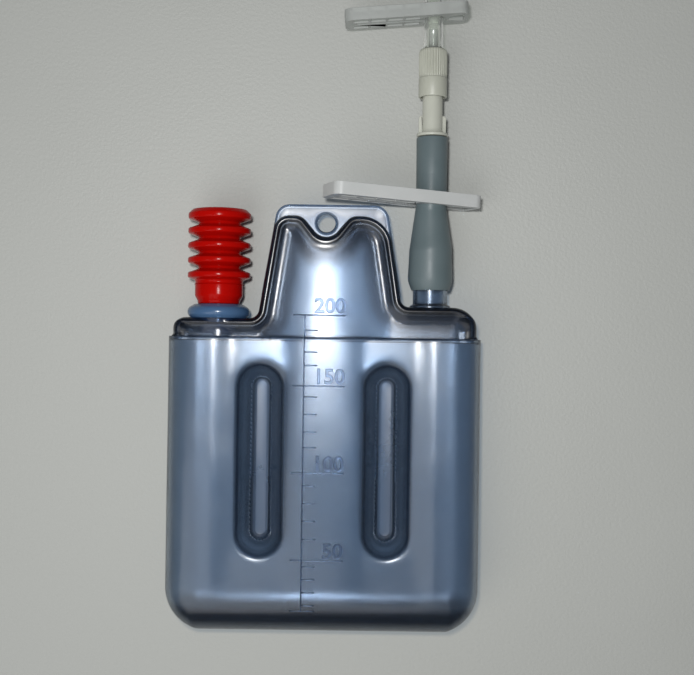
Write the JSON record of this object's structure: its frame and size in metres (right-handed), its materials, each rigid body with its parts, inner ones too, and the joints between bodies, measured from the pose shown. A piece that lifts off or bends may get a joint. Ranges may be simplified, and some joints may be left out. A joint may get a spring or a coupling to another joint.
{
  "type": "closed suction drain",
  "caption": "Flat blow-moulded suction bottle with a bellows vacuum indicator, a soft sleeve with a slide clamp, a luer-lock connector and a drain tube with its own clamp.",
  "frame": {"origin": "middle of the bottle's flat back, 52 mm above its base, on the surface that the drain lies on", "axes": "+Z out of the bottle's front, which carries the scale; +Y from the bottle's base to its hanger hole; +X towards the drain line's side"},
  "size_m": [0.11, 0.346, 0.0323],
  "materials": {
    "bottle_clear": "clear, glossy, blue tint",
    "grommet_blue": "soft satin",
    "bellows_red": "satin",
    "sleeve_grey": "satin",
    "clamp_white": "matt",
    "connector_white": "semi-gloss",
    "collar_white": "semi-gloss",
    "hub_clear": "clear",
    "tube_clear": "clear, soft",
    "clamp_frosted": "frosted",
    "adapter_clear": "clear"
  },
  "bodies": {
    "drain": {"bottle": "bottle_clear", "indicator_grommet": "grommet_blue", "drain_sleeve": "sleeve_grey", "connector_barrel": "connector_white", "luer_hub": "hub_clear", "drain_tube": "tube_clear", "tube_coil": "tube_clear", "drain_adapter": "adapter_clear"},
    "indicator": {"indicator_bellows": "bellows_red"},
    "sleeve_clamp": {"sleeve_clamp": "clamp_white"},
    "collar": {"luer_collar": "collar_white"},
    "tube_clamp": {"tube_clamp": "clamp_frosted"}
  },
  "joints": [
    {"name": "indicator_stroke", "type": "slide", "parent": "drain", "child": "indicator", "axis": [0, -1, 0], "range_m": [0, 0.014], "stiffness_N_per_m": 120, "deforming": ["indicator_bellows"]},
    {"name": "sleeve_clamp_slide", "type": "slide", "parent": "drain", "child": "sleeve_clamp", "axis": [0.9417, -0.0411, -0.3338], "range_m": [0, 0.022], "deforming": ["drain_sleeve"]},
    {"name": "collar_turn", "type": "hinge", "parent": "drain", "child": "collar", "pos_m": [0.037, 0.145, 0.0125], "axis": [0, 1, 0], "continuous": true},
    {"name": "tube_clamp_slide", "type": "slide", "parent": "drain", "child": "tube_clamp", "axis": [0.9966, 0.0819, 0], "range_m": [0, 0.018], "deforming": ["drain_tube"]}
  ]
}
